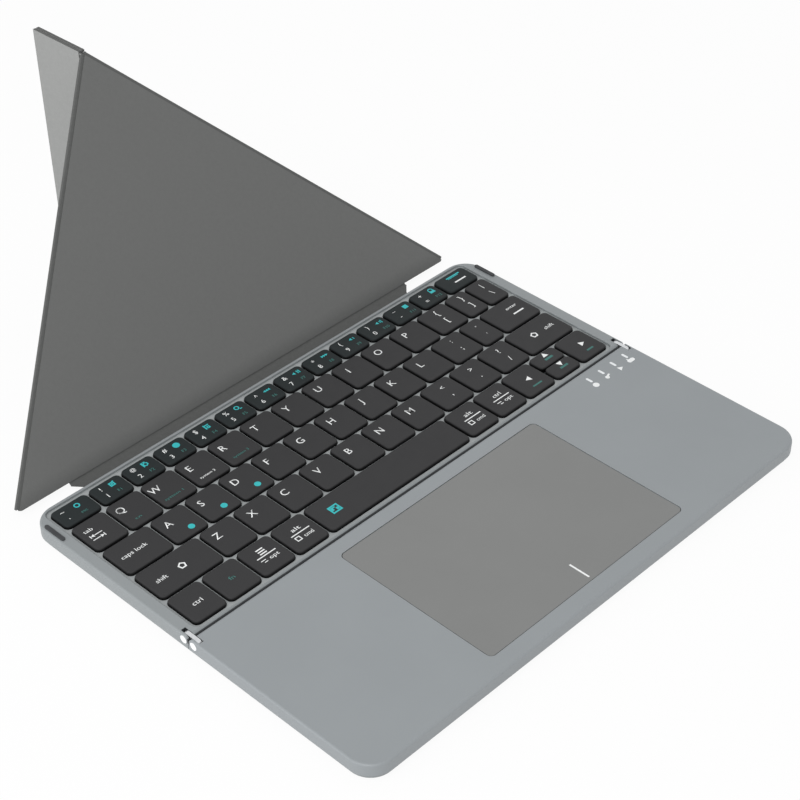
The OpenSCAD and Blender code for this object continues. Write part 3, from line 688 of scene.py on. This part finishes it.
def crease(name, mat, place, x0, x1, bend, setback, radius=None, steps=8,
           mirrored=False):
    """A soft strip that joins two boards across their crease and bends with them.

    In the frame of the matrix place, X runs along the crease, the first board lies towards
    -Y and the second turns away from +Y towards +Z by bend degrees.
    """
    angle = math.radians(bend)
    r = radius or setback / math.tan(angle / 2)
    bare = r * math.tan(angle / 2)
    bm = bmesh.new()
    bmesh.ops.create_grid(bm, x_segments=1, y_segments=1, size=0.5)
    bmesh.ops.scale(bm, verts=bm.verts, vec=(x1 - x0, SKIN, 1))
    bmesh.ops.rotate(bm, verts=bm.verts, matrix=Matrix.Rotation(math.pi / 2, 3, "X"))
    bmesh.ops.translate(bm, verts=bm.verts, vec=((x0 + x1) / 2, -setback - LAP, 0))

    def faces_of(made):
        return [g for g in made if isinstance(g, bmesh.types.BMFace)]

    def extrude(faces, vec):
        made = bmesh.ops.extrude_face_region(bm, geom=faces)["geom"]
        ends = [g for g in made if isinstance(g, bmesh.types.BMVert)]
        bmesh.ops.translate(bm, vec=vec, verts=ends)
        return faces_of(made)

    face = extrude(bm.faces[:], (0, setback + LAP - bare, 0))
    geom = face + [e for f in face for e in f.edges] + [v for f in face for v in f.verts]
    end = bmesh.ops.spin(bm, geom=geom, cent=(0, -bare, r), axis=(1, 0, 0), angle=angle,
                         steps=steps, use_duplicate=False)["geom_last"]
    out = Vector((0, math.cos(angle), math.sin(angle)))
    extrude(faces_of(end), out * (setback + LAP - bare))
    bmesh.ops.scale(bm, verts=bm.verts, vec=(MM, MM, MM))
    bmesh.ops.transform(bm, matrix=place, verts=bm.verts)
    middle = (x0 + x1) / 2
    start = place @ (Vector((middle, -setback, 0)) * MM)
    stop = place @ ((out * setback + Vector((middle, 0, 0))) * MM)
    if mirrored:
        bmesh.ops.scale(bm, verts=bm.verts, vec=(-1, 1, 1))
        start.x, stop.x = -start.x, -stop.x
    obj = made_piece(name, bm, mat, None)
    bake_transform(obj)
    return obj


def lay_creases(long_mat, fin_mat, root_mat):
    """The skin in the five creases of the cover, worked out from its slope and its folds."""
    turn = Matrix.Rotation
    rad = math.radians
    foot = Matrix.Translation((0, COVER_Y * MM, COVER_Z * MM))
    sheet = foot @ turn(rad(LEAN), 4, "X")
    corner = Vector((EDGE_X, 0, 0))
    along = Vector((APEX_X, APEX_H, 0)) - corner
    length = along.length
    along.normalize()
    across = Vector((along.y, -along.x, 0))
    local = Matrix((along, across, Vector((0, 0, -1)))).transposed().to_4x4()
    at_corner = Matrix.Translation(corner * MM)
    long_place = sheet @ at_corner @ local
    folded = at_corner @ turn(rad(WING_FOLD), 4, along) @ at_corner.inverted()
    fin_place = sheet @ folded @ Matrix.Translation((0, APEX_H * MM, 0))
    for side, mirrored in (("right", False), ("left", True)):
        crease(side + "_long_crease", long_mat, long_place,
               3.5, length - 0.6, WING_FOLD, LONG_SETBACK, radius=LONG_RADIUS, steps=12,
               mirrored=mirrored)
        crease(side + "_fin_crease", fin_mat, fin_place,
               1.6, 124.2, FIN_FOLD, FIN_SETBACK, mirrored=mirrored)
    base = foot @ turn(rad(TILT), 4, "X")
    crease("base_crease", root_mat, base, -96.3, 96.3,
           LEAN - TILT, BASE_SETBACK)


def lay_root_crease(mat):
    """The rolled strip that carries the spine from the rear edge of the anchor."""
    bm = bmesh.new()
    bmesh.ops.create_grid(bm, x_segments=1, y_segments=1, size=0.5)
    bmesh.ops.scale(bm, verts=bm.verts, vec=(ROOT_W, ROOT_SKIN, 1))
    bmesh.ops.rotate(bm, verts=bm.verts, matrix=Matrix.Rotation(math.pi / 2, 3, "X"))
    bmesh.ops.translate(bm, verts=bm.verts, vec=(0, 0, -ROOT_R))
    geom = bm.verts[:] + bm.edges[:] + bm.faces[:]
    sweep = math.radians(90 + TILT - ROOT_HIDDEN)
    bmesh.ops.spin(bm, geom=geom, cent=(0, 0, 0), axis=(1, 0, 0), angle=sweep, steps=8,
                   use_duplicate=False)
    bmesh.ops.translate(bm, verts=bm.verts, vec=(0, SPINE_Y, SPINE_Z))
    bmesh.ops.scale(bm, verts=bm.verts, vec=(MM, MM, MM))
    obj = made_piece("root_crease", bm, mat, None)
    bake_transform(obj)


# ---------------------------------------------------------------- lights and floor

def seen_directly(tree, ray):
    """1 for rays from the camera, straight or by way of metal or glass."""
    seen = ray.outputs["Is Camera Ray"]
    for other in ("Is Glossy Ray", "Is Transmission Ray"):
        either = tree.nodes.new("ShaderNodeMath")
        either.operation = "MAXIMUM"
        tree.links.new(seen, either.inputs[0])
        tree.links.new(ray.outputs[other], either.inputs[1])
        seen = either.outputs[0]
    return seen


def light_scene():
    """A plain white surround, a key lamp at the left and a low lamp beside it."""
    world = bpy.data.worlds.new("studio")
    bpy.context.scene.world = world
    world.use_nodes = True
    tree = world.node_tree
    tree.nodes.clear()
    out = tree.nodes.new("ShaderNodeOutputWorld")
    ray = tree.nodes.new("ShaderNodeLightPath")
    sky = tree.nodes.new("ShaderNodeBackground")
    sky.inputs["Color"].default_value = (1, 1, 1, 1)
    sky.inputs["Strength"].default_value = 0.62
    plain = tree.nodes.new("ShaderNodeBackground")
    plain.inputs["Strength"].default_value = 1.0
    plain.inputs["Color"].default_value = (1, 1, 1, 1)
    mix = tree.nodes.new("ShaderNodeMixShader")
    tree.links.new(seen_directly(tree, ray), mix.inputs[0])
    tree.links.new(sky.outputs[0], mix.inputs[1])
    tree.links.new(plain.outputs[0], mix.inputs[2])
    tree.links.new(mix.outputs[0], out.inputs["Surface"])

    def lamp(name, place, aim, size, power):
        data = bpy.data.lights.new(name, "AREA")
        data.shape = "DISK"
        data.size = size
        data.energy = power
        obj = bpy.data.objects.new(name, data)
        bpy.context.scene.collection.objects.link(obj)
        stand = Vector(place)
        turn = (Vector(aim) - stand).to_track_quat("-Z", "Y")
        obj.matrix_world = Matrix.Translation(stand) @ turn.to_matrix().to_4x4()

    lamp("key_lamp", (-0.9, -0.5, 1.1), (0, 0, 0), 0.9, 9)
    lamp("side_lamp", (-1.2, 0.3, 0.35), (0, 0, 0.05), 0.6, 3.2)


FLOOR_HALF = 3  # metres
FLOOR_DROP = 0.2  # millimetres below the feet
FLOOR_GLOW = 0.93  # share of plain white; the rest is lit, and shows the shadow


def lay_floor():
    """A plain white floor that keeps the object's shadow."""
    bm = bmesh.new()
    bmesh.ops.create_grid(bm, x_segments=1, y_segments=1, size=FLOOR_HALF)
    bmesh.ops.translate(bm, verts=bm.verts, vec=(0, 0, -FLOOR_DROP * MM))
    mat = bpy.data.materials.new("floor")
    mat.use_nodes = True
    tree = mat.node_tree
    shader = tree.nodes["Principled BSDF"]
    shader.inputs["Base Color"].default_value = (0.9, 0.9, 0.9, 1)
    shader.inputs["Roughness"].default_value = 0.9
    shader.inputs["Specular IOR Level"].default_value = 0.0
    glow = tree.nodes.new("ShaderNodeEmission")
    ray = tree.nodes.new("ShaderNodeLightPath")
    mix = tree.nodes.new("ShaderNodeMixShader")
    share = tree.nodes.new("ShaderNodeMath")
    share.operation = "MULTIPLY"
    share.inputs[1].default_value = FLOOR_GLOW
    tree.links.new(seen_directly(tree, ray), share.inputs[0])
    tree.links.new(share.outputs[0], mix.inputs[0])
    tree.links.new(shader.outputs[0], mix.inputs[1])
    tree.links.new(glow.outputs[0], mix.inputs[2])
    tree.links.new(mix.outputs[0], tree.nodes["Material Output"].inputs["Surface"])
    floor = made_piece("floor", bm, mat, None)


def paint(mat, *names):
    """Gives whole CAD nodes one finish."""
    for name in names:
        data = nodes[name].data
        data.materials.clear()
        data.materials.append(mat)


def bind_edges(mat, *names):
    """Gives the narrow edge faces of flat boards a binding of their own."""
    side_on = 0.5  # a face turned further from the board's face than this is an edge
    for name in names:
        data = nodes[name].data
        board = max(data.polygons, key=lambda p: p.area).normal.copy()
        data.materials.append(mat)
        for face in data.polygons:
            if abs(face.normal.dot(board)) < side_on:
                face.material_index = 1


# ---------------------------------------------------------------- the scene

place_camera()

palm_rest_paint = case_finish("palm_rest_paint", (145, 150, 153))
key_case_paint = case_finish("key_case_paint", (142, 147, 149), tray=(162, 166, 167))
lower_paint = moulded("lower_case_paint", (141, 146, 148), 0.45)
# the third colour of each cap finish is painted shade over the caps' rounded edges
cap_plastic = cap_finish("key_cap_plastic", (58, 58, 59), (34, 34, 35))
number_plastic = cap_finish("number_cap_plastic", (41, 46, 47), (29, 32, 33))
pad_finish = moulded("touchpad_finish", (125, 126, 125), 0.38, 3600, 0.006, 1)
white_ink = printed("white_ink", (243, 245, 245))
teal_ink = printed("teal_ink", (48, 186, 190))
dim_ink = printed("dim_teal_ink", (50, 112, 106))
# the second colour is painted shade at the front panel's foot
cover_skin = grained_skin("cover_skin", (101, 102, 101), (90, 91, 90))
# painted shade: the spine, the anchor and the strips at the foot made darker where the case shades
# them
root_painted_shade_skin = grained_skin("root_painted_shade_skin", (80, 81, 80))
fin_skin = grained_skin("fin_skin", (148, 149, 148))
edge_skin = grained_skin("cover_edge_skin", (84, 85, 84))
bumper_rubber = rubber("bumper_rubber", (56, 58, 60))
foot_rubber = rubber("foot_rubber", (48, 48, 49))
pin_metal = metal("pin_metal", (244, 245, 246), 0.3, (2500, 2500, 2500), 0.15)
link_metal = metal("link_metal", (212, 214, 216), 0.34)
screw_metal = metal("screw_metal", (112, 113, 116), 0.36, (3000, 3000, 3000))
plate_metal = metal("plate_metal", (180, 182, 186), 0.4)
magnet_metal = metal("magnet_metal", (190, 190, 194), 0.22)
cell_foil = metal("cell_foil", (196, 198, 202), 0.3, (90, 90, 90))
film = moulded("membrane_film", (208, 214, 218), 0.3, 900, 0.004)
dome_rubber = rubber("dome_rubber", (226, 226, 220))
frame_plastic = moulded("frame_plastic", (232, 234, 236), 0.35)
board_green = circuit_board("board_green", (26, 82, 58))
slider_plastic = moulded("slider_plastic", (66, 68, 70), 0.4)
lens_plastic = lens("lens_plastic", (240, 243, 245))

paint(key_case_paint, "keyboard_top_case")
paint(palm_rest_paint, "touchpad_top_case")
paint(lower_paint, "keyboard_bottom_cover", "touchpad_bottom_cover")
paint(cap_plastic, *[n for n in nodes if n.endswith(("_key", "_keys"))], "space_bar")
paint(number_plastic, "number_keys", "backtick_key", "backspace_key")
paint(pad_finish, "touchpad_sheet")
paint(cover_skin, "cover_front_panel")
paint(root_painted_shade_skin, "cover_spine", "cover_anchor")
folding_boards = ("cover_left_fin", "cover_right_fin", "cover_left_wing", "cover_right_wing")
paint(fin_skin, *folding_boards)
bind_edges(edge_skin, *folding_boards)
paint(bumper_rubber, "keyboard_bumpers")
paint(foot_rubber, "keyboard_feet", "touchpad_feet")
paint(pin_metal, "keyboard_hinge_pins", "touchpad_hinge_pins")
paint(link_metal, "hinge_link_left", "hinge_link_right")
paint(screw_metal, "keyboard_screws", "touchpad_screws", "space_bar_stabilizer")
paint(plate_metal, "key_support_plate", "charging_socket", "click_switch")
paint(magnet_metal, "keyboard_magnets", "touchpad_magnets")
paint(cell_foil, "battery")
paint(film, "switch_membrane")
paint(dome_rubber, "rubber_domes")
paint(frame_plastic, "scissor_frames")
paint(board_green, "main_board", "touchpad_board")
paint(slider_plastic, "power_slider")
paint(lens_plastic, "indicator_lenses")

print_legends({"white": white_ink, "teal": teal_ink, "dim": dim_ink})
print_case_marks(white_ink)
lay_creases(edge_skin, fin_skin, root_painted_shade_skin)
lay_root_crease(root_painted_shade_skin)
light_scene()
lay_floor()
bpy.context.scene.view_settings.view_transform = "Standard"
